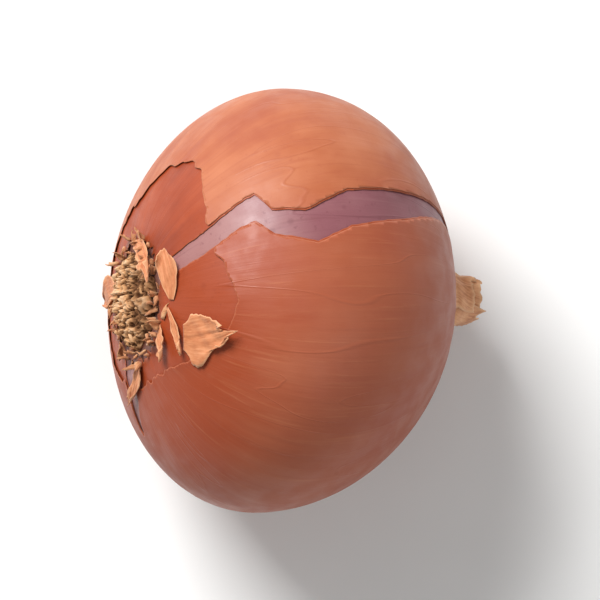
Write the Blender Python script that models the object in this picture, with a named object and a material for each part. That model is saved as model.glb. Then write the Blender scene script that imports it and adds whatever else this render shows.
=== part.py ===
"""A shallot: one brown-skinned bulb that lies on its side on a small flat spot.

World frame: metres, +Z up, the origin in the middle of the flat spot that the bulb rests on.
The bulb's axis runs from the root end, raised at -X, down to the dry neck at +X.
Each sub-part is one object: the bulb, its dry neck, its root tuft and the torn flaps of papery skin.
"""
import math
import random
from collections import namedtuple

import bmesh
import bpy
from mathutils import Vector

# The bulb
ACROSS = 0.0460                   # widest ring, side to side
DEPTH = 0.0400                    # widest ring, top to bottom: the flatter way
ROOT_SIDE = 0.0163                # widest ring to the root end, along the axis
NECK_SIDE = 0.0205                # widest ring to the shoulder that the neck grows from
NECK_STEM = 0.0013                # how far the bulb's own neck stands out of that shoulder
NECK_RADIUS = 0.0024
NECK_FLARE = 0.0040               # how softly the shoulder turns into the neck
DIMPLE_DEPTH = 0.0010             # the hollow that the root plate sits in
DIMPLE_RADIUS = 0.0060
LEAN = 0.08                       # the widest ring leans to the neck on the +Y side
LOBES = ((2, 0.010, 0.6), (3, 0.012, 2.1), (5, 0.005, 0.9))   # waves round the ring, height, start
TILT = math.radians(27)           # how far the root end is raised
RING_CENTRE = Vector((-0.0003, 0.0, 0.0198))
BULB_SIDES = 56
BULB_RINGS = 38
END_CROWDING = 0.07               # draws the rings closer together at the two ends

MM = 0.001
GAP = 0.3 * MM                    # between two pieces that touch

# The dry neck
DRY_NECK_LENGTH = 0.0040
DRY_NECK_WIDTH = 0.0058           # at its spread, flattened end
DRY_NECK_THICKNESS = 0.0026
DRY_NECK_TWIST = math.radians(50)
DRY_NECK_PLEATS = 5
DRY_NECK_SIDES = 30
DRY_NECK_RINGS = 9

# The root tuft
PLATE_SPAN = math.radians(12.8)   # how much of the root end the plate covers, from the axis
PLATE_HEIGHT = 0.0012
PLATE_SIDES = 28
PLATE_RINGS = 5
ROOT_COUNT = 18
ROOT_LENGTH = (0.0008, 0.0019)
ROOT_RADIUS = (0.00032, 0.00055)
ROOT_SIDES = 6
ROOT_STEPS = 4
ROOT_SEED = 11

# The torn flaps of skin
FLAP_THICKNESS = 0.00045
FLAP_STEPS = 9
FLAP_COLUMNS = 5


# A torn flap of skin. held_at is where it is held, as degrees from the root end and degrees of turn;
# heading is 0 towards the neck and 90 towards rising turn; half_widths run from the held end to the
# free one. In millimetres, lift is how high the free end stands, tip raises one edge over the other,
# cup raises both edges and bow bends the flap sideways.
Flap = namedtuple("Flap", "name held_at heading length half_widths lift tip cup bow")
FLAPS = (
    Flap("skin_flap_petal", (21, 1), 88, 5.4, (0.3, 0.85, 1.2, 1.15, 0.5), 0.5, 0.6, 0.25, 0.0),
    Flap("skin_flap_curled", (15.6, 100), -90, 6.4, (0.3, 0.7, 0.85, 0.6, 0.2), 0.9, -0.7, 0.3, 0.0),
    Flap("skin_flap_torn", (29.5, -19), 14, 6.6, (1.3, 2.2, 1.9, 1.2, 0.4), 0.75, 0.35, 0.2, 0.2),
    Flap("skin_strip_narrow", (21, -5), -45, 4.6, (0.3, 0.4, 0.55, 0.5, 0.25), 0.45, 0.3, 0.1, 0.1),
    Flap("skin_strip_short", (17.5, -22), -40, 3.2, (0.35, 0.6, 0.7, 0.55, 0.25), 0.6, 0.3, 0.2, 0.0),
    Flap("skin_strip_lower", (16.5, -80), -22, 5.4, (0.4, 0.8, 0.7, 0.5, 0.25), 0.35, 0.25, 0.2, -0.5),
    Flap("skin_flap_under", (16.5, 170), 10, 5.0, (0.7, 1.3, 1.2, 0.8, 0.4), 0.3, -0.2, 0.15, 0.4),
)

# How fast a flap lifts along its length, and how early it tips over
LIFT_POWER = 1.6
TIP_POWER = 0.5

GOLDEN_ANGLE = math.pi * (3 - math.sqrt(5))


def clear_scene():
    for item in list(bpy.data.objects):
        bpy.data.objects.remove(item, do_unlink=True)


def smooth_step(low, high, value):
    """0 below low, 1 above high, and a soft ramp between."""
    part = min(max((value - low) / (high - low), 0.0), 1.0)
    return part * part * (3 - 2 * part)


def to_world(along, side, up):
    """A place on the bulb's own axes (towards the neck, towards +Y, away from the table) in the world."""
    axis = Vector((math.cos(TILT), 0.0, -math.sin(TILT)))
    raised = Vector((math.sin(TILT), 0.0, math.cos(TILT)))
    return RING_CENTRE + axis * along + Vector((0.0, side, 0.0)) + raised * up


def profile(angle):
    """The bulb's outline: place along the axis and radius, at an angle from the root end."""
    radius = ACROSS / 2 * math.sin(angle)
    if angle <= math.pi / 2:
        along = -ROOT_SIDE * math.cos(angle)
        return along + DIMPLE_DEPTH * math.exp(-((radius / DIMPLE_RADIUS) ** 2)), radius
    neck = smooth_step(math.radians(95), math.radians(160), angle)
    stem = smooth_step(math.radians(163), math.radians(180), angle)
    flare = NECK_FLARE * neck
    floor = NECK_RADIUS * neck
    radius = (radius + floor + math.sqrt((radius - floor) ** 2 + flare * flare * 0.25)) / 2
    return -NECK_SIDE * math.cos(angle) + NECK_STEM * stem, radius


def skin_point(angle, turn, lift=0.0):
    """A point on the bulb's skin; turn 0 is its upper side and a quarter turn is +Y."""
    def place(a, t):
        along, radius = profile(a)
        swell = 1 + math.sin(a) ** 2 * sum(h * math.cos(n * t + s) for n, h, s in LOBES)
        side = radius * swell * math.sin(t)
        up = radius * swell * math.cos(t) * DEPTH / ACROSS
        return to_world(along + LEAN * side * math.sin(a), side, up)

    here = place(angle, turn)
    if lift == 0.0:
        return here
    step = 0.01
    down_the_skin = place(angle + step, turn) - place(angle - step, turn)
    round_the_skin = place(angle, turn + step) - place(angle, turn - step)
    return here + down_the_skin.cross(round_the_skin).normalized() * lift


def material(name, colour, roughness):
    finish = bpy.data.materials.new(name)
    finish.use_nodes = True
    shader = finish.node_tree.nodes["Principled BSDF"]
    shader.inputs["Base Color"].default_value = (*colour, 1.0)
    shader.inputs["Roughness"].default_value = roughness
    shader.inputs["Metallic"].default_value = 0.0
    return finish


def finish_object(name, mesh, finish):
    """A closed bmesh becomes a named, smooth-shaded object in the scene."""
    bmesh.ops.recalc_face_normals(mesh, faces=mesh.faces)
    data = bpy.data.meshes.new(name)
    mesh.to_mesh(data)
    mesh.free()
    data.shade_smooth()
    data.set_sharp_from_angle(angle=math.radians(40))
    data.materials.append(finish)
    piece = bpy.data.objects.new(name, data)
    bpy.context.scene.collection.objects.link(piece)
    return piece


def loft(mesh, rings, close_start=True, close_end=True):
    """Skin a list of rings of points, each ring closed on itself, and cap the two ends."""
    loops = [[mesh.verts.new(point) for point in ring] for ring in rings]
    count = len(loops[0])
    for first, second in zip(loops, loops[1:]):
        for k in range(count):
            mesh.faces.new((first[k], first[(k + 1) % count], second[(k + 1) % count], second[k]))
    if close_start:
        mesh.faces.new(list(reversed(loops[0])))
    if close_end:
        mesh.faces.new(loops[-1])
    return loops


def fan(mesh, loop, centre):
    """Close a ring with triangles that meet in one point."""
    point = mesh.verts.new(centre)
    for k, vert in enumerate(loop):
        mesh.faces.new((vert, loop[(k + 1) % len(loop)], point))


def make_bulb(finish):
    mesh = bmesh.new()
    steps = [(k + 1) / (BULB_RINGS + 1) for k in range(BULB_RINGS)]
    angles = [math.pi * (step - END_CROWDING * math.sin(2 * math.pi * step)) for step in steps]
    turns = [2 * math.pi * k / BULB_SIDES for k in range(BULB_SIDES)]
    rings = [[skin_point(angle, turn) for turn in turns] for angle in angles]
    loops = loft(mesh, rings, close_start=False, close_end=False)
    fan(mesh, loops[0], skin_point(0.0, 0.0))
    stem_end, _ = profile(math.pi)
    fan(mesh, loops[-1], to_world(stem_end, 0.0, 0.0))
    everything = mesh.verts[:] + mesh.edges[:] + mesh.faces[:]
    cut = bmesh.ops.bisect_plane(
        mesh, geom=everything, plane_co=(0, 0, 0), plane_no=(0, 0, -1), clear_outer=True)
    rim = [item for item in cut["geom_cut"] if isinstance(item, bmesh.types.BMEdge)]
    bmesh.ops.holes_fill(mesh, edges=rim)
    return finish_object("bulb", mesh, finish)


def make_dry_neck(finish):
    """The withered leaves above the neck: a pleated, twisted stub that flattens to its torn end."""
    start = profile(math.pi)[0] + GAP
    mesh = bmesh.new()
    rings = []
    for step in range(DRY_NECK_RINGS):
        part = step / (DRY_NECK_RINGS - 1)
        spread = smooth_step(0.1, 1.0, part)
        wide = NECK_RADIUS * 0.95 * (1 - spread) + DRY_NECK_WIDTH / 2 * spread
        thin = NECK_RADIUS * 0.95 * (1 - spread) + DRY_NECK_THICKNESS / 2 * spread
        twist = DRY_NECK_TWIST * part
        ring = []
        for k in range(DRY_NECK_SIDES):
            turn = 2 * math.pi * k / DRY_NECK_SIDES
            pleat = 1 + 0.10 * math.cos(DRY_NECK_PLEATS * turn + 3 * part)
            side = wide * pleat * math.cos(turn)
            up = thin * pleat * math.sin(turn)
            torn = 0.0006 * part * math.sin(3 * turn + 1)
            slant = -0.10 * part * side
            ring.append(to_world(
                start + DRY_NECK_LENGTH * part + torn + slant,
                side * math.cos(twist) - up * math.sin(twist),
                side * math.sin(twist) + up * math.cos(twist),
            ))
        rings.append(ring)
    loft(mesh, rings)
    return finish_object("dry_neck", mesh, finish)


def join(target, cutter_mesh):
    """Fuse a closed bmesh into an object with a boolean union."""
    data = bpy.data.meshes.new("joined")
    bmesh.ops.recalc_face_normals(cutter_mesh, faces=cutter_mesh.faces)
    cutter_mesh.to_mesh(data)
    cutter_mesh.free()
    helper = bpy.data.objects.new("joined", data)
    bpy.context.scene.collection.objects.link(helper)
    union = target.modifiers.new("union", "BOOLEAN")
    union.operation = "UNION"
    union.solver = "EXACT"
    union.object = helper
    depsgraph = bpy.context.evaluated_depsgraph_get()
    fused = bpy.data.meshes.new_from_object(target.evaluated_get(depsgraph))
    target.modifiers.remove(union)
    target.data = fused
    bpy.data.objects.remove(helper, do_unlink=True)


def plate_top(part, turn):
    """How high the plate stands over the skin, from its middle (0) to its rim (1)."""
    dome = PLATE_HEIGHT * (1 - 0.75 * part ** 3)
    crumbs = 0.00022 * math.sin(5 * turn + 7 * part) * math.sin(9 * part + 2 * turn)
    return dome + crumbs * part


def make_root_tuft(finish):
    """The basal plate in its hollow, with the dried stubs of its roots grown out of it."""
    rng = random.Random(ROOT_SEED)
    turns = [2 * math.pi * k / PLATE_SIDES for k in range(PLATE_SIDES)]
    parts = [(k + 1) / PLATE_RINGS for k in range(PLATE_RINGS)]
    under = [[skin_point(PLATE_SPAN * part, turn, GAP) for turn in turns] for part in parts]
    over = [
        [skin_point(PLATE_SPAN * part, turn, GAP + plate_top(part, turn)) for turn in turns]
        for part in parts]
    mesh = bmesh.new()
    loops = loft(mesh, under + over[::-1], close_start=False, close_end=False)
    fan(mesh, loops[0], skin_point(0.001, 0.0, GAP))
    fan(mesh, loops[-1], skin_point(0.001, 0.0, GAP + plate_top(0.0, 0.0)))
    tuft = finish_object("root_tuft", mesh, finish)

    outward = to_world(-1, 0, 0) - to_world(0, 0, 0)
    for k in range(ROOT_COUNT):
        part = 0.88 * math.sqrt((k + 0.5) / ROOT_COUNT)
        turn = k * GOLDEN_ANGLE
        angle = PLATE_SPAN * part
        foot = skin_point(angle, turn, GAP + plate_top(part, turn) * 0.35)
        away = (skin_point(angle + 0.05, turn) - skin_point(angle, turn)).normalized()
        round_it = outward.cross(away)
        length = rng.uniform(*ROOT_LENGTH)
        thick = rng.uniform(*ROOT_RADIUS)
        splay = 0.25 + 0.9 * part + rng.uniform(-0.15, 0.15)
        curl = rng.uniform(-0.9, 0.9)
        rings = []
        for step in range(ROOT_STEPS + 1):
            reach = step / ROOT_STEPS
            bend = splay * (0.6 + 0.8 * reach)
            heading = outward * math.cos(bend) + away * math.sin(bend) + round_it * curl * reach
            centre = foot + heading.normalized() * length * reach
            first = heading.cross(round_it).normalized()
            second = heading.cross(first).normalized()
            radius = thick * (1 - 0.55 * reach)
            rings.append([
                centre + radius * (first * math.cos(a) + second * math.sin(a))
                for a in (2 * math.pi * n / ROOT_SIDES for n in range(ROOT_SIDES))
            ])
        stub = bmesh.new()
        loft(stub, rings)
        join(tuft, stub)
    return tuft


def make_flap(flap, finish):
    """A torn flap of papery skin that lies on the bulb and lifts off it towards its free end."""
    angle, turn = (math.radians(degrees) for degrees in flap.held_at)
    heading = math.radians(flap.heading)
    step = 0.01
    down = (skin_point(angle + step, turn) - skin_point(angle - step, turn)).length / (2 * step)
    around = (skin_point(angle, turn + step) - skin_point(angle, turn - step)).length / (2 * step)
    mesh = bmesh.new()
    rows = []
    for row in range(FLAP_STEPS):
        part = row / (FLAP_STEPS - 1)
        place = part * (len(flap.half_widths) - 1)
        k = min(int(place), len(flap.half_widths) - 2)
        blend = smooth_step(0.0, 1.0, place - k)
        half = flap.half_widths[k] * (1 - blend) + flap.half_widths[k + 1] * blend
        points = []
        for column in range(FLAP_COLUMNS):
            across = 2 * column / (FLAP_COLUMNS - 1) - 1
            forward = flap.length * part * MM
            sideways = (half * across + flap.bow * part * part) * MM
            toward_neck = forward * math.cos(heading) - sideways * math.sin(heading)
            toward_turn = forward * math.sin(heading) + sideways * math.cos(heading)
            tip = abs(flap.tip) * part ** TIP_POWER * (1 + math.copysign(across, flap.tip)) / 2
            height = GAP + (flap.lift * part ** LIFT_POWER + tip + flap.cup * across * across) * MM
            points.append(mesh.verts.new(
                skin_point(angle + toward_neck / down, turn + toward_turn / around, height)))
        rows.append(points)
    for first, second in zip(rows, rows[1:]):
        for k in range(FLAP_COLUMNS - 1):
            mesh.faces.new((first[k], first[k + 1], second[k + 1], second[k]))
    sheet = mesh.faces[:]
    bmesh.ops.recalc_face_normals(mesh, faces=sheet)
    outward = skin_point(angle, turn, 1.0) - skin_point(angle, turn)
    if sum(face.normal.dot(outward) for face in sheet) < 0:
        bmesh.ops.reverse_faces(mesh, faces=sheet)
    bmesh.ops.solidify(mesh, geom=sheet, thickness=-FLAP_THICKNESS)
    return finish_object(flap.name, mesh, finish)


def main():
    clear_scene()
    skin = material("brown_skin", (0.42, 0.13, 0.06), 0.45)
    paper = material("papery_skin", (0.62, 0.30, 0.16), 0.60)
    straw = material("dried_root", (0.45, 0.31, 0.19), 0.85)
    make_bulb(skin)
    make_dry_neck(paper)
    make_root_tuft(straw)
    for flap in FLAPS:
        make_flap(flap, paper)


main()
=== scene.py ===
"""The looks of a shallot lying on its side: split papery skins, crumbly root plate and dry neck.

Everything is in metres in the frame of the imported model. On the bulb, angle runs from the root
end (0) to the neck (pi), and turn runs round the axis: 0 on the upper side, a quarter turn at +Y.
"""

import math
import random
from collections import namedtuple

import bmesh
import bpy
import numpy as np
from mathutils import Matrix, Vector, noise


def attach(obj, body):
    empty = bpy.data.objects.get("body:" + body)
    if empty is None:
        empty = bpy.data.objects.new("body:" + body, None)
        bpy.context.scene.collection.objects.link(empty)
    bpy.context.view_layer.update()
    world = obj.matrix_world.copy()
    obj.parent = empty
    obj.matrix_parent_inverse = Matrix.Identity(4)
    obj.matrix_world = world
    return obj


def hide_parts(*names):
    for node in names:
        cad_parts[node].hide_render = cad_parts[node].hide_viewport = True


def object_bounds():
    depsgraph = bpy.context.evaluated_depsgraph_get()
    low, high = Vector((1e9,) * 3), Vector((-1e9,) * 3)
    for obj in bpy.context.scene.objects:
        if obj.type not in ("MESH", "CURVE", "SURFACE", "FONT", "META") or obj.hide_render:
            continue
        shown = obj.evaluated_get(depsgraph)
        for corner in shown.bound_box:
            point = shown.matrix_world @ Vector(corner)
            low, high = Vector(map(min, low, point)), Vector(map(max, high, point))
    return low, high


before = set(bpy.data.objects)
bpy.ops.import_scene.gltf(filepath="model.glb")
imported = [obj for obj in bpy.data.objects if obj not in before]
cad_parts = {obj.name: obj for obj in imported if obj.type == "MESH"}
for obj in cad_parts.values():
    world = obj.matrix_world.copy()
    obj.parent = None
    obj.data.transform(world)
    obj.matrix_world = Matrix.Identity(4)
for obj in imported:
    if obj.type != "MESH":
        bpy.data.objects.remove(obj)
CAD_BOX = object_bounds()
MM = 0.001
BODY = "root"

# The bulb's shape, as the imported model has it
ACROSS = 46.0 * MM
DEPTH = 40.0 * MM
ROOT_SIDE = 16.3 * MM
NECK_SIDE = 20.5 * MM
NECK_STEM = 1.3 * MM
NECK_RADIUS = 2.4 * MM
NECK_FLARE = 4.0 * MM
DIMPLE_DEPTH = 1.0 * MM
DIMPLE_RADIUS = 6.0 * MM
LEAN = 0.08
LOBES = ((2, 0.010, 0.6), (3, 0.012, 2.1), (5, 0.005, 0.9))
TILT = math.radians(27)
RING_CENTRE = np.array((-0.3, 0.0, 19.8)) * MM
AXIS = np.array((math.cos(TILT), 0.0, -math.sin(TILT)))
RAISED = np.array((math.sin(TILT), 0.0, math.cos(TILT)))
SIDE = np.array((0.0, 1.0, 0.0))

# The layers of skin, as heights over the bulb's surface
VIOLET_LIFT = -0.10 * MM
RUST_LIFT = -0.02 * MM
TAN_LIFT = 0.05 * MM
SKIN_THICKNESS = 0.05 * MM
TABLE_GAP = 0.02 * MM

# The split down the skins: degrees from the root end, turn of its upper and of its lower edge
SPLIT_UPPER = (
    (18, 31), (37, 32), (52, 36), (57, 36.5), (62, 29), (74, 26.5), (90, 31.5), (115, 34), (140, 38),
    (166, 33))
SPLIT_LOWER = (
    (18, 16), (36, 20), (50, 25.5), (56, 26), (62, 20), (77, 16), (90, 20), (112, 24), (140, 33),
    (166, 33))
# Where the torn skins begin: turn, degrees from the root end
TAN_EDGE = (
    (-180, 23), (-140, 27), (-105, 24), (-60, 24), (-40, 27), (-26, 35), (-14, 45), (0, 48), (12, 44), (24, 40),
    (46, 41), (64, 44), (84, 39), (102, 30), (140, 25), (180, 23))
# The short tear beside the root: degrees from the root end, half its width in millimetres
SIDE_TEAR = ((15, 2.0), (22, 1.8), (30, 1.2), (38, 0.6), (44, -0.6))
SIDE_TEAR_TURN = math.radians(-103)
RUST_EDGE = ((-180, 15), (-90, 16), (-20, 17), (40, 17), (100, 15.5), (180, 15))

# The dry neck
DRY_NECK_LENGTH = 4.0 * MM
DRY_NECK_WIDTH = 5.8 * MM
DRY_NECK_THICKNESS = 2.6 * MM
DRY_NECK_TWIST = math.radians(50)
# Its sheaths: layers count outwards; each is centred on start_turn and reaches spread radians to
# either side; length is in millimetres
Sheath = namedtuple("Sheath", "layer start_turn spread length seed")
SHEATHS = (
    Sheath(0, 0.2, 3.1, 3.6, 81),
    Sheath(1, 2.6, 1.5, 4.3, 83),
    Sheath(2, -0.9, 1.35, 3.3, 85),
    Sheath(3, 4.3, 1.1, 3.9, 87),
    Sheath(4, 0.9, 0.9, 2.6, 89),
    Sheath(-3, 1.2, 3.1, 3.1, 91),
    Sheath(-5, 3.0, 3.1, 3.7, 93),
    Sheath(-7, 0.4, 3.1, 3.3, 95),
)

# The root plate
PLATE_SPAN = math.radians(12.8)
PLATE_HEIGHT = 1.2 * MM
STUB_LENGTH = 0.85 * MM
STUB_RADIUS = 0.19 * MM
FIBRE_LENGTH = 1.5 * MM
FIBRE_RADIUS = 0.045 * MM

# Thicknesses of the loose skin
FLAP_THICKNESS = 0.07 * MM
SHEATH_THICKNESS = 0.11 * MM
SCRAP_THICKNESS = 0.08 * MM
# How far a flap's held end stands off the bulb's surface
FLAP_LIFT = 0.14 * MM

# The stage
FLOOR_REACH = 2.0
CAMERA_PLACE = (3.34 * MM, 0.15 * MM, 0.56)
CAMERA_LENS = 300
WORLD_STRENGTH = 0.30

# The torn flaps: held at (degrees from the root end, turn); heading 0 is towards the neck and 90
# towards rising turn; half widths run from the held end to the free one. Millimetres otherwise.
Flap = namedtuple("Flap", "name held_at heading length half_widths lift tip cup bow ragged")
FLAPS = (
    Flap("skin_flap_petal", (22.8, 1), 88, 5.4, (0.3, 0.85, 1.2, 1.15, 0.5), 0.5, 0.6, 0.25, 0.0, 0.25),
    Flap("skin_flap_curled", (15.2, 100), -90, 6.9, (0.3, 0.7, 0.85, 0.6, 0.2), 0.9, -0.7, 0.3, 0.0, 0.6),
    Flap("skin_flap_torn", (29.5, -19), 14, 6.6, (1.3, 2.2, 1.9, 1.2, 0.4), 0.75, 0.35, 0.2, 0.2, 1.0),
    Flap("skin_strip_narrow", (21, -5), -45, 4.6, (0.15, 0.35, 0.55, 0.5, 0.25), 0.45, 0.3, 0.1, 0.1, 0.5),
    Flap("skin_strip_short", (17.5, -22), -40, 3.2, (0.35, 0.6, 0.7, 0.55, 0.25), 0.6, 0.3, 0.2, 0.0, 0.7),
    Flap("skin_strip_lower", (16.5, -80), -22, 5.4, (0.4, 0.8, 0.7, 0.5, 0.2), 0.35, 0.25, 0.2, -0.5, 0.7),
    Flap("skin_flap_under", (16.5, 170), 10, 5.0, (0.7, 1.3, 1.2, 0.8, 0.4), 0.3, -0.2, 0.15, 0.4, 0.8),
)


# ---------------------------------------------------------------- shape

def ramp(low, high, value):
    """0 below low, 1 above high, and a soft ramp between."""
    part = np.clip((value - low) / (high - low), 0.0, 1.0)
    return part * part * (3 - 2 * part)


def profile(angle):
    """The bulb's outline: place along its axis and radius."""
    radius = ACROSS / 2 * np.sin(angle)
    root = -ROOT_SIDE * np.cos(angle) + DIMPLE_DEPTH * np.exp(-((radius / DIMPLE_RADIUS) ** 2))
    neck = ramp(math.radians(95), math.radians(160), angle)
    stem = ramp(math.radians(163), math.radians(180), angle)
    floor = NECK_RADIUS * neck
    necked = (radius + floor + np.sqrt((radius - floor) ** 2 + (NECK_FLARE * neck) ** 2 * 0.25)) / 2
    on_root_side = angle <= math.pi / 2
    along = np.where(on_root_side, root, -NECK_SIDE * np.cos(angle) + NECK_STEM * stem)
    return along, np.where(on_root_side, radius, necked)


def to_world(along, side, up):
    """A place on the bulb's own axes, in the world."""
    return (RING_CENTRE + np.multiply.outer(along, AXIS) + np.multiply.outer(side, SIDE)
            + np.multiply.outer(up, RAISED))


def bare_skin(angle, turn):
    along, radius = profile(angle)
    swell = 1 + np.sin(angle) ** 2 * sum(h * np.cos(n * turn + s) for n, h, s in LOBES)
    side = radius * swell * np.sin(turn)
    up = radius * swell * np.cos(turn) * DEPTH / ACROSS
    return to_world(along + LEAN * side * np.sin(angle), side, up)


def outward(angle, turn):
    """The skin's outward direction."""
    safe = np.clip(angle, 0.02, math.pi - 0.02)
    step = 0.01
    down = bare_skin(safe + step, turn) - bare_skin(safe - step, turn)
    around = bare_skin(safe, turn + step) - bare_skin(safe, turn - step)
    normal = np.cross(down, around)
    return normal / np.linalg.norm(normal, axis=-1, keepdims=True)


def skin_point(angle, turn, lift):
    angle, turn, lift = np.broadcast_arrays(np.asarray(angle, float), turn, lift)
    return bare_skin(angle, turn) + outward(angle, turn) * lift[..., None]


def meridian_length(angle):
    """Metres along the skin for each radian of angle."""
    reach = np.where(angle < math.pi / 2, ROOT_SIDE, NECK_SIDE)
    return np.hypot(reach * np.sin(angle), ACROSS / 2 * np.cos(angle))


def waves(at, seed, count, cusped=False, low=1, high=12):
    """A repeatable uneven line, about -1 to 1, that closes on itself over a whole turn."""
    rng = random.Random(seed)
    total = np.zeros_like(at)
    weight = 0.0
    for _ in range(count):
        pace = rng.randint(low, high)
        size = (low / pace) ** 0.5
        phase = rng.uniform(0, math.tau)
        wave = np.sin(pace * at + phase)
        total += size * (1.6 - 2.5 * np.abs(wave) if cusped else wave)
        weight += size
    return total / weight


# ---------------------------------------------------------------- meshes

def mesh_object(name, points, faces, finish, attributes=None):
    """A smooth-shaded object from points and faces, with named values on its points."""
    data = bpy.data.meshes.new(name)
    data.from_pydata([tuple(p) for p in points], [], faces)
    for label, values in (attributes or {}).items():
        kind = "FLOAT_VECTOR" if np.ndim(values) == 2 else "FLOAT"
        layer = data.attributes.new(label, kind, "POINT")
        layer.data.foreach_set("vector" if kind == "FLOAT_VECTOR" else "value", np.ravel(values))
    data.shade_smooth()
    data.materials.append(finish)
    piece = bpy.data.objects.new(name, data)
    bpy.context.scene.collection.objects.link(piece)
    return piece


def tidy_mesh(piece, gap=0.001 * MM, outside=True):
    """Merge points that meet, drop what that flattens and turn the faces outwards."""
    mesh = bmesh.new()
    mesh.from_mesh(piece.data)
    bmesh.ops.remove_doubles(mesh, verts=mesh.verts, dist=gap)
    bmesh.ops.dissolve_degenerate(mesh, edges=mesh.edges, dist=gap)
    if outside:
        bmesh.ops.recalc_face_normals(mesh, faces=mesh.faces)
    mesh.to_mesh(piece.data)
    mesh.free()


def thicken(piece, thickness, offset=-1.0):
    wall = piece.modifiers.new("thickness", "SOLIDIFY")
    wall.thickness = thickness
    wall.offset = offset
    wall.use_rim = True


def grid_faces(rows, columns):
    return [
        (r * columns + c, (r + 1) * columns + c, (r + 1) * columns + c + 1, r * columns + c + 1)
        for r in range(rows - 1) for c in range(columns - 1)
    ]


def keep_positive(values, faces, field):
    """Cut a sheet along the line where field is 0 and keep the side where it is positive.

    values holds one row of coordinates for each point; the new points on the line lie between
    the two that they part. Returns the kept rows and the kept faces.
    """
    rows = [tuple(v) for v in values]
    heights = list(field)
    crossings = {}

    def crossing(a, b):
        key = (min(a, b), max(a, b))
        if key not in crossings:
            part = heights[a] / (heights[a] - heights[b])
            crossings[key] = len(rows)
            rows.append(tuple(x + (y - x) * part for x, y in zip(rows[a], rows[b])))
            heights.append(0.0)
        return crossings[key]

    kept = []
    for face in faces:
        inside = [field[i] > 0 for i in face]
        if all(inside):
            kept.append(face)
        elif any(inside):
            outline = []
            for k, i in enumerate(face):
                following = (k + 1) % len(face)
                if inside[k]:
                    outline.append(i)
                if inside[k] != inside[following]:
                    outline.append(crossing(i, face[following]))
            kept.append(tuple(outline))
    used = sorted({i for face in kept for i in face})
    renumbered = {old: new for new, old in enumerate(used)}
    kept = [tuple(renumbered[i] for i in face) for face in kept]
    return np.array([rows[i] for i in used]), kept


# ---------------------------------------------------------------- skins

def split_gap(angle, turn, margin):
    """Metres outside the split: negative within it. margin narrows the split."""
    at = np.degrees(angle)
    upper = np.radians(np.interp(at, *zip(*SPLIT_UPPER)))
    lower = np.radians(np.interp(at, *zip(*SPLIT_LOWER)))
    radius = profile(angle)[1]
    jag = 0.10 * MM
    over = (turn - upper) * radius + jag * waves(angle * 5, 5, 7, True, 3, 16)
    under = (lower - turn) * radius + jag * waves(angle * 5, 8, 7, True, 3, 16)
    upper_side = np.maximum(over, under) + margin + 4 * MM * ramp(math.radians(158), math.radians(167), angle)
    half = np.interp(at, *zip(*SIDE_TEAR)) * MM
    centre = SIDE_TEAR_TURN + 0.05 * waves(angle * 4, 17, 4, True, 1, 6)
    lower_side = np.abs(turn - centre) * radius - half + 0.5 * margin
    lower_side += jag * waves(angle * 5, 6, 6, True, 3, 16)
    return np.minimum(upper_side, lower_side)


def torn_gap(angle, turn, edge, seed, jag):
    """Metres past the torn edge round the root: negative on the root's side of it."""
    begins = np.radians(np.interp(np.degrees(turn), *zip(*edge)))
    uneven = jag * (0.7 * waves(turn, seed, 9, True, 4, 30) + 0.5 * waves(turn, seed + 1, 6, False, 2, 9))
    return (angle - begins) * meridian_length(begins) + uneven


def skin_rows():
    """Angles of the rows of a skin: closest together round the root and at the neck."""
    spans = ((11, 60, 0.85), (60, 160, 1.9), (160, 180, 1.1))
    rows = [low + k * step for low, high, step in spans for k in range(int(round((high - low) / step)))]
    return np.radians(np.array(rows + [180.0]))


def ribs(angle, turn):
    """Height of the skin's fine lengthwise veins and of its pleats at the neck."""
    wander = 0.35 * np.sin(2.2 * angle + 1.0) + 0.1 * np.sin(5 * angle)
    fine = np.abs(np.sin(30 * turn + wander * 3)) ** 0.7
    broad = waves(turn + 0.08 * wander, 31, 6, False, 5, 13)
    gather = ramp(math.radians(138), math.radians(176), angle)
    pleats = waves(turn + 0.25 * gather, 33, 5, True, 9, 19)
    return (0.016 * fine * np.sin(angle) + 0.035 * broad * np.sin(angle) + 0.17 * gather * pleats) * MM


def torn_skin(name, finish, lift, edge, seed, jag, margin, curl, columns):
    """One papery skin: split down its upper side, torn away round the root, its edges lifted."""
    angles = skin_rows()
    turns = np.linspace(-math.pi, math.pi, columns + 1)
    angle, turn = (a.ravel() for a in np.meshgrid(angles, turns, indexing="ij"))

    def gap(a, t):
        return np.minimum(split_gap(a, t, margin), torn_gap(a, t, edge, seed, jag))

    values, faces = keep_positive(
        np.column_stack((angle, turn)), grid_faces(len(angles), columns + 1), gap(angle, turn))
    angle, turn = values.T
    away = np.maximum(gap(angle, turn), 0.0)
    at_root = np.exp(-np.maximum(torn_gap(angle, turn, edge, seed, jag), 0) / (1.3 * MM))
    at_split = np.exp(-np.maximum(split_gap(angle, turn, margin), 0) / (0.9 * MM))
    rise = curl * at_root * (0.55 + 0.45 * waves(turn, seed + 5, 5, False, 3, 11))
    rise += 0.15 * curl * at_split * (0.6 + 0.4 * np.sin(angle * 9 + seed))
    points = skin_point(angle, turn, lift + rise + ribs(angle, turn))
    points[:, 2] = np.maximum(points[:, 2], TABLE_GAP + TAN_LIFT - lift)
    grain = np.column_stack((np.cos(turn), np.sin(turn), angle))
    rim = np.exp(-away / (0.28 * MM))
    piece = mesh_object(name, points, faces, finish, {"grain": grain, "rim": rim})
    tidy_mesh(piece, outside=False)
    return piece


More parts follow.
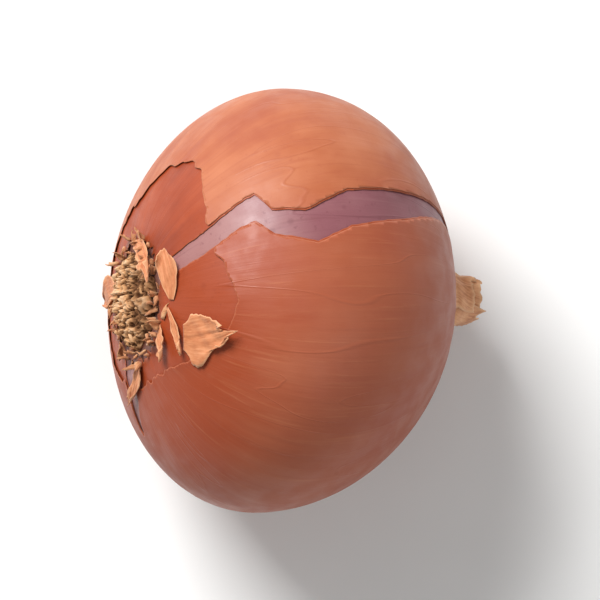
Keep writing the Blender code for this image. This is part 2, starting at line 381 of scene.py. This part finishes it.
def make_violet_skin(finish):
    """The whole inner skin, closed at both ends; it shows in the split and round the root."""
    angles = np.radians(np.concatenate((np.linspace(2, 62, 46), np.linspace(64, 178, 58))))
    columns = 220
    turns = np.linspace(-math.pi, math.pi, columns + 1)[:-1]
    angle, turn = (a.ravel() for a in np.meshgrid(angles, turns, indexing="ij"))
    points = skin_point(angle, turn, VIOLET_LIFT + ribs(angle, turn))
    points[:, 2] = np.maximum(points[:, 2], TABLE_GAP + 0.35 * MM)
    faces = [
        (r * columns + c, r * columns + (c + 1) % columns,
         (r + 1) * columns + (c + 1) % columns, (r + 1) * columns + c)
        for r in range(len(angles) - 1) for c in range(columns)
    ]
    last = (len(angles) - 1) * columns
    faces.append(tuple(reversed(range(columns))))
    faces.append(tuple(range(last, last + columns)))
    grain = np.column_stack((np.cos(turn), np.sin(turn), angle))
    piece = mesh_object("violet_skin", points, faces, finish, {"grain": grain, "rim": 0 * angle})
    tidy_mesh(piece)
    return piece


def make_flap(flap, seed, finish):
    """A torn flap of papery skin: held at one end, its ragged edges and free end off the bulb."""
    rows, columns = 44, 25
    angle, turn = (math.radians(degrees) for degrees in flap.held_at)
    heading = math.radians(flap.heading)
    step = 0.01
    down = np.linalg.norm(bare_skin(angle + step, turn) - bare_skin(angle - step, turn)) / (2 * step)
    around = np.linalg.norm(bare_skin(angle, turn + step) - bare_skin(angle, turn - step)) / (2 * step)
    part, across = (a.ravel() for a in np.meshgrid(
        np.linspace(0, 1, rows), np.linspace(-1, 1, columns), indexing="ij"))
    stations = np.linspace(0, 1, len(flap.half_widths))
    half = np.interp(part, stations, flap.half_widths)
    notches = 0.38 * waves(part * 3 + 2 * across, seed, 4, False, 1, 4)
    notches += 0.09 * waves(part * 4, seed + 7, 5, True, 3, 9)
    half *= 1 + flap.ragged * np.abs(across) ** 3 * notches
    torn_end = 0.26 * waves(across * 2.2, seed + 1, 4, False, 1, 4)
    torn_end += 0.05 * waves(across * 3, seed + 8, 5, True, 2, 7)
    tongue = 1 - 0.16 * part ** 3 * across ** 2 + flap.ragged * part ** 4 * torn_end
    forward = flap.length * part * tongue * MM
    sideways = (half * across + flap.bow * part * part) * MM
    toward_neck = forward * math.cos(heading) - sideways * math.sin(heading)
    toward_turn = forward * math.sin(heading) + sideways * math.cos(heading)
    tip = abs(flap.tip) * part ** 0.5 * (1 + math.copysign(1, flap.tip) * across) / 2
    crinkle = 0.26 * waves(part * 3 + 0.8 * across, seed + 2, 4, True, 1, 4) * part
    crinkle += 0.13 * waves(across * 3 - part, seed + 3, 4, True, 2, 6) * np.sqrt(part)
    rise = (flap.lift * part ** 1.6 + tip + flap.cup * across ** 2 * np.sqrt(part) + crinkle) * MM
    lift = FLAP_LIFT + np.maximum(rise, 0)
    points = skin_point(angle + toward_neck / down, turn + toward_turn / around, lift)
    edge_distance = np.minimum(half * (1 - np.abs(across)), flap.length * (1 - part))
    piece = mesh_object(
        flap.name, points, grid_faces(rows, columns), finish,
        {"grain": np.column_stack((across * half, 0 * part, part * flap.length)),
         "rim": np.exp(-edge_distance / 0.16)})
    tidy_mesh(piece)
    out = outward(np.array(angle), np.array(turn))
    if sum(face.normal.dot(Vector(out)) * face.area for face in piece.data.polygons) < 0:
        piece.data.flip_normals()
    thicken(piece, FLAP_THICKNESS, 0.0)
    return piece


# ---------------------------------------------------------------- roots

def plate_height(part, turn, point):
    """The crumbly top of the root plate over the skin, and how proud each spot of it stands, 0 to 1."""
    dome = PLATE_HEIGHT * (1 - 0.7 * part ** 3)
    spot = Vector(point) * 1000
    pace = spot * 0.8
    warp = Vector((noise.noise(pace), noise.noise(pace + Vector((7, 3, 1))), noise.noise(pace - spot.zxy)))
    bent = spot + 1.1 * warp
    crumb = noise.fractal(bent * 0.8, 0.6, 2.2, 4)
    ridge = 1 - min(1.0, 2.6 * abs(noise.noise(Vector((bent.x * 1.3, bent.y * 1.9, bent.z * 1.1)))))
    crack = noise.voronoi(bent * 0.62)[0]
    gap = min(1.0, (crack[1] - crack[0]) * 4.0)
    side = 0.5 - 0.5 * math.cos(turn - 2.6)
    level = 0.22 + 0.45 * crumb + 0.42 * ridge + 0.22 * (1 - side)
    proud = min(1.0, max(0.0, level)) * (0.3 + 0.7 * gap)
    return dome + (1.35 * proud - 0.5) * MM, proud


def make_root_plate(finish):
    """The basal plate: a corky, cracked disc in the hollow of the root end."""
    rings, columns = 44, 170
    points = []
    proud = []
    tone = []
    for under in (True, False):
        for ring in range(rings):
            part = (ring + 1) / rings
            for column in range(columns):
                turn = math.tau * column / columns
                ragged = 1 + 0.05 * math.sin(3 * turn + 1) + 0.035 * math.sin(8 * turn)
                ragged += 0.02 * math.sin(17 * turn)
                angle = PLATE_SPAN * part * (1 + (ragged - 1) * part)
                base = skin_point(angle, turn, -0.1 * MM)
                height, stands = plate_height(part, turn, base)
                edge = (1 - ramp(0.9, 1.0, part))
                points.append(base if under else skin_point(angle, turn, height * (0.25 + 0.75 * float(edge))))
                proud.append(stands)
                tone.append(0.5 - 0.5 * math.cos(turn) * part)
    faces = []
    top = rings * columns
    for ring in range(rings - 1):
        for column in range(columns):
            a, b = ring * columns + column, ring * columns + (column + 1) % columns
            faces.append((a, b, b + columns, a + columns))
            faces.append((top + a, top + a + columns, top + b + columns, top + b))
    last = (rings - 1) * columns
    for c in range(columns):
        following = (c + 1) % columns
        faces.append((last + c, last + following, top + last + following, top + last + c))
    faces.append(tuple(range(columns)))
    faces.append(tuple(top + c for c in reversed(range(columns))))
    piece = mesh_object("root_plate", points, faces, finish, {"proud": np.array(proud), "tone": np.array(tone)})
    tidy_mesh(piece)
    return piece


def curved_tube(name, length, radius, sides, steps, bend, end_size, hollow, finish):
    """A dry root or fibre that stands on the origin along +Z, bends over and thins towards its end."""
    points = []
    for step in range(steps + 1):
        reach = step / steps
        size = radius * (1 + (end_size - 1) * reach)
        lean = bend * reach
        for k in range(sides):
            around = math.tau * k / sides
            size_here = size * (1 + 0.18 * math.sin(3 * around + 5 * reach))
            points.append((
                length * reach * math.sin(lean) + size_here * math.cos(around) * math.cos(lean),
                size_here * math.sin(around) + 0.15 * radius * math.sin(7 * reach),
                length * reach * math.cos(lean) - size_here * math.cos(around) * math.sin(lean)))
    faces = [
        (r * sides + k, r * sides + (k + 1) % sides, (r + 1) * sides + (k + 1) % sides, (r + 1) * sides + k)
        for r in range(steps) for k in range(sides)]
    faces.append(tuple(reversed(range(sides))))
    end = steps * sides
    if hollow:
        rim = points[end:end + sides]
        centre = [sum(p[axis] for p in rim) / sides for axis in range(3)]
        pit = len(points)
        points += [tuple(c + (q - c) * 0.55 for c, q in zip(centre, p)) for p in rim]
        floor = len(points)
        points.append((centre[0] * 0.75, centre[1], centre[2] * 0.75))
        for k in range(sides):
            following = (k + 1) % sides
            faces.append((end + k, end + following, pit + following, pit + k))
            faces.append((pit + k, pit + following, floor))
    else:
        faces.append(tuple(range(end, end + sides)))
    heights = np.array([p[2] / length for p in points])
    return mesh_object(name, points, faces, finish, {"proud": heights, "tone": 0.5 + 0 * heights})


def shard(name, finish):
    """A little torn scrap of dry skin that stands on the origin, curled over at its top."""
    rows, columns = 5, 4
    outline = (0.55, 1.0, 0.85, 0.6, 0.18)
    points = []
    for row in range(rows):
        reach = row / (rows - 1)
        for column in range(columns):
            across = 2 * column / (columns - 1) - 1
            points.append((
                0.42 * MM * outline[row] * across + 0.1 * MM * math.sin(5 * reach),
                0.25 * MM * across * across + 0.5 * MM * reach * reach,
                1.15 * MM * reach * (1 - 0.2 * across * reach)))
    piece = mesh_object(name, points, grid_faces(rows, columns), finish, {
        "grain": np.array([(p[0] * 1000, 0.0, p[2] * 1000) for p in points]),
        "rim": np.array([0.6 if abs(p[0]) > 0.3 * MM else 0.2 for p in points])})
    thicken(piece, SCRAP_THICKNESS, 0.0)
    return piece


def growth_tree(name, finish):
    """Geometry nodes that scatter copies of a shape over a surface, each leaning its own way."""
    tree = bpy.data.node_groups.new(name, "GeometryNodeTree")
    face = tree.interface
    face.new_socket("Geometry", in_out="OUTPUT", socket_type="NodeSocketGeometry")
    face.new_socket("Geometry", in_out="INPUT", socket_type="NodeSocketGeometry")
    face.new_socket("Shape", in_out="INPUT", socket_type="NodeSocketObject")
    face.new_socket("Spacing", in_out="INPUT", socket_type="NodeSocketFloat")
    face.new_socket("Density", in_out="INPUT", socket_type="NodeSocketFloat")
    face.new_socket("Smallest", in_out="INPUT", socket_type="NodeSocketFloat")
    face.new_socket("Largest", in_out="INPUT", socket_type="NodeSocketFloat")
    face.new_socket("Lean", in_out="INPUT", socket_type="NodeSocketFloat")
    face.new_socket("Seed", in_out="INPUT", socket_type="NodeSocketInt")

    def add(kind, **settings):
        made = tree.nodes.new(kind)
        for key, value in settings.items():
            setattr(made, key, value)
        return made

    link = tree.links.new
    given = add("NodeGroupInput").outputs
    scatter = add("GeometryNodeDistributePointsOnFaces", distribute_method="POISSON")
    link(given["Geometry"], scatter.inputs["Mesh"])
    link(given["Spacing"], scatter.inputs["Distance Min"])
    link(given["Density"], scatter.inputs["Density Max"])
    link(given["Seed"], scatter.inputs["Seed"])

    opposite = add("ShaderNodeMath", operation="MULTIPLY")
    link(given["Lean"], opposite.inputs[0])
    opposite.inputs[1].default_value = -1.0
    low = add("ShaderNodeCombineXYZ")
    high = add("ShaderNodeCombineXYZ")
    for axis in ("X", "Y"):
        link(opposite.outputs[0], low.inputs[axis])
        link(given["Lean"], high.inputs[axis])
    high.inputs["Z"].default_value = math.tau
    lean = add("FunctionNodeRandomValue", data_type="FLOAT_VECTOR")
    link(low.outputs[0], lean.inputs["Min"])
    link(high.outputs[0], lean.inputs["Max"])
    link(given["Seed"], lean.inputs["Seed"])
    as_rotation = add("FunctionNodeEulerToRotation")
    link(lean.outputs["Value"], as_rotation.inputs[0])
    turned = add("FunctionNodeRotateRotation", rotation_space="LOCAL")
    link(scatter.outputs["Rotation"], turned.inputs["Rotation"])
    link(as_rotation.outputs[0], turned.inputs["Rotate By"])

    size = add("FunctionNodeRandomValue", data_type="FLOAT")
    link(given["Smallest"], size.inputs[2])
    link(given["Largest"], size.inputs[3])
    link(given["Seed"], size.inputs["Seed"])
    shape = add("GeometryNodeObjectInfo", transform_space="ORIGINAL")
    link(given["Shape"], shape.inputs["Object"])
    copies = add("GeometryNodeInstanceOnPoints")
    link(scatter.outputs["Points"], copies.inputs["Points"])
    link(shape.outputs["Geometry"], copies.inputs["Instance"])
    link(turned.outputs[0], copies.inputs["Rotation"])
    link(size.outputs[1], copies.inputs["Scale"])
    realised = add("GeometryNodeRealizeInstances")
    link(copies.outputs[0], realised.inputs[0])
    painted = add("GeometryNodeSetMaterial")
    painted.inputs["Material"].default_value = finish
    link(realised.outputs[0], painted.inputs[0])
    link(painted.outputs[0], add("NodeGroupOutput").inputs[0])
    return tree


def grow(name, ground, shape, finish, **inputs):
    """Scatter a shape over a surface and keep the result as a plain mesh; the shape is used up."""
    tree = growth_tree(name, finish)
    spread = ground.modifiers.new("growth", "NODES")
    spread.node_group = tree
    identifiers = {
        item.name: item.identifier for item in tree.interface.items_tree if item.in_out == "INPUT"}
    spread[identifiers["Shape"]] = shape
    for label, value in inputs.items():
        spread[identifiers[label]] = value
    evaluated = ground.evaluated_get(bpy.context.evaluated_depsgraph_get())
    data = bpy.data.meshes.new_from_object(evaluated)
    ground.modifiers.remove(spread)
    data.name = name
    piece = bpy.data.objects.new(name, data)
    bpy.context.scene.collection.objects.link(piece)
    bpy.data.objects.remove(shape, do_unlink=True)
    return piece


def root_ground(low, high, lift):
    """A band of the root end, from low to high degrees, that roots or scraps grow out of."""
    angles = np.radians(np.linspace(low, high, 8))
    turns = np.linspace(-math.pi, math.pi, 61)
    angle, turn = (a.ravel() for a in np.meshgrid(angles, turns, indexing="ij"))
    return mesh_object("ground", skin_point(angle, turn, lift), grid_faces(8, 61), None)


# ---------------------------------------------------------------- dry neck

def neck_sheath(name, sheath, finish):
    """One withered leaf base round the neck: it clasps the stem, folds flat and ends torn."""
    rows, columns = 30, 26
    layer, start_turn, spread, seed = sheath.layer, sheath.start_turn, sheath.spread, sheath.seed
    length = sheath.length * MM
    part, across = (a.ravel() for a in np.meshgrid(
        np.linspace(0, 1, rows), np.linspace(-1, 1, columns), indexing="ij"))
    turn = start_turn + spread * across * (1 - 0.25 * part ** 2)
    torn_end = 0.13 * waves(across * 3, seed, 5, False, 1, 6)
    torn_end += 0.05 * waves(across * 3, seed + 1, 6, True, 3, 12)
    reach = -1.8 * MM + (length + 1.8 * MM) * part * (1 + part ** 4 * torn_end)
    along = profile(np.array(math.pi))[0] + reach
    beyond = np.clip(reach / DRY_NECK_LENGTH, 0.0, 1.4)
    shoulder = profile(math.pi - np.clip(-reach / (9 * MM), 0.0, 0.3))[1]
    flat = ramp(0.05, 1.0, beyond)
    outer = layer * 0.15 * MM
    emerged = 0.62 + 0.38 * ramp(0.0, 0.26 + 0.06 * waves(across * 3, seed + 3, 4, False, 1, 5), part)
    slim = shoulder * emerged * (1 - 0.18 * ramp(0.0, 0.5, beyond))
    wide = slim * (1 - flat) + DRY_NECK_WIDTH / 2 * flat + outer
    thin = slim * (1 - flat) + DRY_NECK_THICKNESS / 2 * flat + outer
    pleat = 1 + (0.05 + 0.07 * beyond) * waves(turn + 0.6 * beyond, 60 + layer, 5, True, 5, 12)
    twist = DRY_NECK_TWIST * beyond
    side = wide * pleat * np.cos(turn)
    up = thin * pleat * np.sin(turn)
    points = to_world(
        along - 0.10 * beyond * side,
        side * np.cos(twist) - up * np.sin(twist),
        side * np.sin(twist) + up * np.cos(twist))
    edge_distance = np.minimum((1 - np.abs(across)) * spread * 2.4, (1 - part) * length * 1000)
    piece = mesh_object(name, points, grid_faces(rows, columns), finish, {
        "grain": np.column_stack((turn * 2.4, 0 * turn, reach * 1000)), "rim": np.exp(-edge_distance / 0.3)})
    middle = Vector(to_world(along[0], 0.0, 0.0))
    tidy_mesh(piece)
    if sum((face.center - middle).dot(face.normal) * face.area for face in piece.data.polygons) < 0:
        piece.data.flip_normals()
    thicken(piece, SHEATH_THICKNESS, 0.0)
    return piece


# ---------------------------------------------------------------- finishes

class Finish:
    """A material whose colour, roughness and bump are built from a few named steps."""

    def __init__(self, name, roughness=0.5, specular=0.5, coat=0.0, sheen=0.0):
        self.material = bpy.data.materials.new(name)
        self.material.use_nodes = True
        self.tree = self.material.node_tree
        self.shader = self.tree.nodes["Principled BSDF"]
        self.shader.inputs["Roughness"].default_value = roughness
        self.shader.inputs["Specular IOR Level"].default_value = specular
        self.shader.inputs["Coat Weight"].default_value = coat
        self.shader.inputs["Coat Roughness"].default_value = 0.35
        self.shader.inputs["Sheen Weight"].default_value = sheen
        self.normal = None

    def node(self, kind, **settings):
        made = self.tree.nodes.new(kind)
        for key, value in settings.items():
            setattr(made, key, value)
        return made

    def feed(self, node, socket, value):
        if hasattr(value, "is_output"):
            self.tree.links.new(value, node.inputs[socket])
        else:
            node.inputs[socket].default_value = value

    def attribute(self, name, vector=False):
        return self.node("ShaderNodeAttribute", attribute_name=name).outputs["Vector" if vector else "Fac"]

    def place(self):
        return self.node("ShaderNodeTexCoord").outputs["Object"]

    def stretch(self, vector, scale):
        made = self.node("ShaderNodeMapping")
        self.feed(made, "Vector", vector)
        made.inputs["Scale"].default_value = scale
        return made.outputs["Vector"]

    def noise(self, vector, scale=1.0, detail=3.0, roughness=0.5, distortion=0.0):
        made = self.node("ShaderNodeTexNoise")
        self.feed(made, "Vector", vector)
        numbers = {"Scale": scale, "Detail": detail, "Roughness": roughness, "Distortion": distortion}
        for socket, value in numbers.items():
            made.inputs[socket].default_value = value
        return made.outputs["Fac"]

    def cells(self, vector, scale):
        made = self.node("ShaderNodeTexVoronoi")
        self.feed(made, "Vector", vector)
        made.inputs["Scale"].default_value = scale
        return made.outputs["Distance"]

    def between(self, value, low, high, to_low=0.0, to_high=1.0):
        made = self.node("ShaderNodeMapRange", interpolation_type="SMOOTHSTEP")
        self.feed(made, "Value", value)
        numbers = {"From Min": low, "From Max": high, "To Min": to_low, "To Max": to_high}
        for socket, number in numbers.items():
            made.inputs[socket].default_value = number
        return made.outputs["Result"]

    def sums(self, operation, a, b):
        made = self.node("ShaderNodeMath", operation=operation)
        self.feed(made, 0, a)
        self.feed(made, 1, b)
        return made.outputs[0]

    def part_of(self, vector, axis):
        made = self.node("ShaderNodeSeparateXYZ")
        self.feed(made, 0, vector)
        return made.outputs[axis]

    def colours(self, value, stops):
        made = self.node("ShaderNodeValToRGB")
        self.feed(made, "Fac", value)
        elements = made.color_ramp.elements
        for k, (at, colour) in enumerate(stops):
            element = elements[k] if k < 2 else elements.new(at)
            element.position = at
            element.color = (*colour, 1.0)
        return made.outputs["Color"]

    def blend(self, factor, under, over, mode="MIX"):
        made = self.node("ShaderNodeMix", data_type="RGBA", blend_type=mode)
        self.feed(made, "Factor", factor)
        self.feed(made, 6, under if hasattr(under, "is_output") else (*under, 1.0))
        self.feed(made, 7, over if hasattr(over, "is_output") else (*over, 1.0))
        return made.outputs[2]

    def bump(self, height, strength, distance):
        made = self.node("ShaderNodeBump")
        self.feed(made, "Height", height)
        made.inputs["Strength"].default_value = strength
        made.inputs["Distance"].default_value = distance
        if self.normal is not None:
            self.feed(made, "Normal", self.normal)
        self.normal = made.outputs["Normal"]

    def finish(self, colour, roughness=None):
        self.feed(self.shader, "Base Color", colour)
        if roughness is not None:
            self.feed(self.shader, "Roughness", roughness)
        if self.normal is not None:
            self.feed(self.shader, "Normal", self.normal)
        return self.material


def skin_finish(name, dark, middle, light, rim, neck_end_shade, near_root, collar_brown_and_shade, lower_side, streaks, specks, coat,
                roughness, all_round=False):
    """Dry onion skin: lengthwise streaks and veins, soft mottling, specks and a pale torn rim; creases darkened
    with painted shade, painted shade towards the neck end, a lower side darker from rust and painted shade, and
    a collar round the root darker from brown and painted shade.
    """
    f = Finish(name, roughness=roughness, specular=0.35, coat=coat)
    grain = f.attribute("grain", vector=True)
    place = f.place()
    broad = f.noise(f.stretch(grain, (5, 5, 0.8)), detail=4, roughness=0.6, distortion=0.4)
    fine = f.noise(f.stretch(grain, (34, 34, 1.3)), detail=4, roughness=0.65, distortion=0.3)
    clouds = f.noise(place, scale=130, detail=3, roughness=0.55)
    base = f.colours(f.sums("ADD", f.sums("MULTIPLY", broad, 0.45), f.sums("MULTIPLY", clouds, 0.55)),
                     ((0.36, dark), (0.5, middle), (0.66, light)))
    angle = f.part_of(grain, "Z")
    # The lower side is blended towards lower_side: partly the skin's own rustier tone, partly painted shade
    # under the light from above.
    lean = f.sums("SUBTRACT", f.part_of(grain, "Y"), f.sums("MULTIPLY", f.part_of(grain, "X"), 0.45))
    below = f.between(lean, 0.20, -0.02)
    base = f.blend(f.sums("MULTIPLY", below, 0.6), base, lower_side)
    uneven = f.sums("ADD", angle, f.sums("MULTIPLY", f.sums("SUBTRACT", broad, 0.5), 0.9))
    reach = f.between(uneven, 1.35, 0.75, 0.0, 0.92)
    base = f.blend(reach if all_round else f.sums("MULTIPLY", reach, below), base, near_root)
    base = f.blend(f.between(fine, 0.56, 0.72, 0.0, streaks), base, light)
    base = f.blend(f.between(fine, 0.46, 0.32, 0.0, streaks), base, dark)
    # Painted shade: the skin is blended darker towards the neck end.
    base = f.blend(f.between(angle, 1.7, 2.8, 0.0, 0.8), base, neck_end_shade)
    # Thin crease lines: real relief through the bump, and painted shade where the colour is darkened along
    # them.
    creased = f.noise(f.stretch(grain, (5.0, 5.0, 0.55)), detail=1, roughness=0.4, distortion=0.1)
    crease_and_shade = f.between(f.sums("ABSOLUTE", f.sums("SUBTRACT", creased, 0.5), 0.0), 0.007, 0.0)
    base = f.blend(f.sums("MULTIPLY", crease_and_shade, 0.28), base, dark)
    grit = f.noise(place, scale=1500, detail=2, roughness=0.7)
    base = f.blend(f.between(grit, 0.60, 0.75, 0.0, specks), base, dark)
    rust_spots = f.cells(place, 260)
    base = f.blend(f.between(rust_spots, 0.13, 0.04, 0.0, specks), base, dark)
    # Darker collar round the root plate: partly the skin's own dark brown, partly painted shade in the crevice
    # round the plate.
    base = f.blend(f.between(angle, 0.34, 0.25, 0.0, 0.85), base, collar_brown_and_shade)
    base = f.blend(f.between(f.attribute("rim"), 0.6, 1.0, 0.0, 0.3), base, rim)
    f.bump(crease_and_shade, 0.25, 0.10 * MM)
    f.bump(fine, 0.35, 0.08 * MM)
    f.bump(grit, 0.12, 0.05 * MM)
    dull = f.noise(place, scale=400, detail=3)
    rough = f.between(dull, 0.3, 0.7, roughness - 0.06, roughness + 0.12)
    return f.finish(base, rough)


# In the three skin finishes below, the neck-end colour is painted shade, and the lower-side and collar colours
# are partly painted shade.
TAN = skin_finish(
    "tan_skin",
    dark=(0.34, 0.078, 0.032),
    middle=(0.4, 0.112, 0.045),
    light=(0.46, 0.15, 0.066),
    rim=(0.56, 0.24, 0.13),
    neck_end_shade=(0.27, 0.055, 0.022),
    near_root=(0.31, 0.05, 0.013),
    collar_brown_and_shade=(0.2, 0.06, 0.02),
    lower_side=(0.33, 0.07, 0.032),
    streaks=0.35,
    specks=0.3,
    coat=0.05,
    roughness=0.47,
)
RUST = skin_finish(
    "rust_skin",
    dark=(0.24, 0.034, 0.008),
    middle=(0.31, 0.048, 0.011),
    light=(0.37, 0.07, 0.02),
    rim=(0.46, 0.17, 0.075),
    neck_end_shade=(0.24, 0.04, 0.014),
    near_root=(0.31, 0.05, 0.013),
    collar_brown_and_shade=(0.13, 0.034, 0.012),
    lower_side=(0.3, 0.046, 0.011),
    streaks=0.3,
    specks=0.4,
    coat=0.05,
    roughness=0.45,
)
VIOLET = skin_finish(
    "violet_skin",
    dark=(0.16, 0.046, 0.055),
    middle=(0.225, 0.078, 0.092),
    light=(0.29, 0.122, 0.128),
    rim=(0.4, 0.2, 0.2),
    neck_end_shade=(0.17, 0.035, 0.05),
    near_root=(0.32, 0.145, 0.135),
    collar_brown_and_shade=(0.11, 0.035, 0.018),
    lower_side=(0.235, 0.082, 0.095),
    streaks=0.3,
    specks=0.5,
    coat=0.1,
    roughness=0.42,
    all_round=True,
)


def paper_finish(name, dark, middle, light, rim):
    """Loose dry skin: matt, thin and light, with fine veins along it."""
    f = Finish(name, roughness=0.62, specular=0.35, sheen=0.1)
    grain = f.attribute("grain", vector=True)
    place = f.place()
    veins = f.noise(f.stretch(grain, (5.5, 5.5, 0.5)), detail=3, roughness=0.6, distortion=0.5)
    clouds = f.noise(place, scale=420, detail=4, roughness=0.6)
    base = f.colours(f.sums("ADD", f.sums("MULTIPLY", veins, 0.5), f.sums("MULTIPLY", clouds, 0.5)),
                     ((0.36, dark), (0.5, middle), (0.64, light)))
    base = f.blend(f.between(f.attribute("rim"), 0.3, 0.95, 0.0, 0.7), base, rim)
    f.bump(veins, 0.4, 0.06 * MM)
    f.bump(clouds, 0.3, 0.06 * MM)
    return f.finish(base)


def root_finish(name, crack, brown, straw, pale):
    """Corky root tissue: straw where it stands proud and darker on one side; its near-black crack colour, in
    the cracks and at the feet of stubs and fibres, is painted shade.
    """
    f = Finish(name, roughness=0.85, specular=0.2)
    place = f.place()
    grains = f.noise(place, scale=900, detail=4, roughness=0.65)
    clouds = f.noise(place, scale=300, detail=3)
    level = f.sums("ADD", f.attribute("proud"), f.sums("MULTIPLY", f.sums("SUBTRACT", grains, 0.5), 0.7))
    # The lowest stop, the crack colour, is painted shade in the recesses and at the feet of stubs and fibres.
    base = f.colours(level, ((0.12, crack), (0.32, brown), (0.55, straw), (0.85, pale)))
    darker_side = f.between(f.attribute("tone"), 0.62, 0.1)
    shade = f.sums("MULTIPLY", darker_side, f.between(clouds, 0.35, 0.6, 0.35, 1.0))
    base = f.blend(f.sums("MULTIPLY", shade, 0.65), base, brown)
    f.bump(grains, 0.6, 0.12 * MM)
    return f.finish(base)


PAPER = paper_finish(
    "loose_skin",
    dark=(0.44, 0.135, 0.048),
    middle=(0.57, 0.215, 0.09),
    light=(0.66, 0.29, 0.14),
    rim=(0.72, 0.38, 0.2),
)
NECK = paper_finish(
    "dry_neck",
    dark=(0.44, 0.155, 0.062),
    middle=(0.64, 0.29, 0.135),
    light=(0.74, 0.4, 0.21),
    rim=(0.76, 0.46, 0.26),
)
SCRAPS = paper_finish(
    "scraps",
    dark=(0.28, 0.095, 0.035),
    middle=(0.5, 0.21, 0.09),
    light=(0.66, 0.36, 0.18),
    rim=(0.68, 0.42, 0.23),
)
# The crack colours of both root finishes below are painted shade.
ROOT = root_finish(
    "root_plate",
    crack=(0.03, 0.01, 0.004),
    brown=(0.15, 0.062, 0.024),
    straw=(0.54, 0.28, 0.125),
    pale=(0.72, 0.46, 0.27),
)
FIBRE = root_finish(
    "root_fibre",
    crack=(0.09, 0.035, 0.013),
    brown=(0.26, 0.12, 0.05),
    straw=(0.58, 0.31, 0.14),
    pale=(0.74, 0.48, 0.28),
)


# ---------------------------------------------------------------- the object

def ride(piece, slot, *nodes):
    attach(piece, BODY)
    if nodes:
        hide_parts(*nodes)


violet_skin = make_violet_skin(VIOLET)
rust_skin = torn_skin("rust_skin", RUST, RUST_LIFT, RUST_EDGE, 21, 1.1 * MM, 0.22 * MM, 0.35 * MM, 300)
tan_skin = torn_skin("tan_skin", TAN, TAN_LIFT, TAN_EDGE, 40, 1.0 * MM, 0.0, 0.30 * MM, 360)
for skin in (rust_skin, tan_skin):
    thicken(skin, SKIN_THICKNESS)

ride(tan_skin, "brown_skin", "bulb")
ride(rust_skin, "brown_skin")
ride(violet_skin, "brown_skin")

for number, flap in enumerate(FLAPS):
    ride(make_flap(flap, 70 + 10 * number, PAPER), "papery_skin", flap.name)

ride(make_root_plate(ROOT), "dried_root", "root_tuft")
stub_ground = root_ground(1, 12, 0.55 * MM)
stub = curved_tube("stub", STUB_LENGTH, STUB_RADIUS, 7, 4, 0.8, 0.7, True, FIBRE)
root_stubs = grow("root_stubs", stub_ground, stub, FIBRE, Spacing=1.15 * MM, Density=0.5e6,
                  Smallest=0.6, Largest=1.7, Lean=1.1, Seed=4)
ride(root_stubs, "dried_root")
fibre = curved_tube("fibre", FIBRE_LENGTH, FIBRE_RADIUS, 4, 6, 2.0, 0.35, False, FIBRE)
root_fibres = grow("root_fibres", stub_ground, fibre, FIBRE, Spacing=0.35 * MM, Density=2.2e6,
                   Smallest=0.4, Largest=1.1, Lean=1.3, Seed=9)
ride(root_fibres, "dried_root")
scrap_ground = root_ground(12.2, 17.5, 0.06 * MM)
root_scraps = grow("root_scraps", scrap_ground, shard("scrap", SCRAPS), SCRAPS, Spacing=0.65 * MM,
                   Density=1.8e6, Smallest=0.5, Largest=1.35, Lean=1.1, Seed=2)
ride(root_scraps, "papery_skin")
for ground in (stub_ground, scrap_ground):
    bpy.data.objects.remove(ground, do_unlink=True)

for number, sheath in enumerate(SHEATHS):
    replaced = ["dry_neck"] if number == 0 else []
    ride(neck_sheath(f"neck_sheath_{number + 1}", sheath, NECK), "papery_skin", *replaced)


# ---------------------------------------------------------------- the stage

def make_stage():
    """A plain pale floor, soft studio light from the upper left and a camera looking straight down."""
    floor_finish = Finish("pale_floor", roughness=0.9, specular=0.2)
    speckle = floor_finish.noise(floor_finish.place(), scale=60, detail=2)
    white = floor_finish.colours(speckle, ((0.3, (0.84, 0.84, 0.83)), (0.7, (0.87, 0.87, 0.86))))
    far = FLOOR_REACH
    corners = [(-far, -far, 0), (far, -far, 0), (far, far, 0), (-far, far, 0)]
    floor = mesh_object("floor", corners, [(0, 1, 2, 3)], floor_finish.finish(white))

    world = bpy.data.worlds.new("studio")
    world.use_nodes = True
    world.node_tree.nodes["Background"].inputs["Color"].default_value = (1.0, 1.0, 1.0, 1.0)
    world.node_tree.nodes["Background"].inputs["Strength"].default_value = WORLD_STRENGTH
    bpy.context.scene.world = world

    middle = Vector((CAD_BOX[0] + CAD_BOX[1]) / 2)
    for name, place, size, power in (
        ("key", (-0.28, 0.42, 0.46), 0.30, 6.6),
        ("fill", (0.40, -0.20, 0.50), 0.60, 1.1),
    ):
        lamp = bpy.data.lights.new(name, "AREA")
        lamp.size = size
        lamp.energy = power
        holder = bpy.data.objects.new(name, lamp)
        holder.location = place
        holder.rotation_euler = (middle - Vector(place)).to_track_quat("-Z", "Y").to_euler()
        bpy.context.scene.collection.objects.link(holder)

    lens = bpy.data.cameras.new("camera")
    lens.lens = CAMERA_LENS
    camera = bpy.data.objects.new("camera", lens)
    camera.location = CAMERA_PLACE
    bpy.context.scene.collection.objects.link(camera)
    bpy.context.scene.camera = camera
    bpy.context.scene.view_settings.view_transform = "Standard"


make_stage()
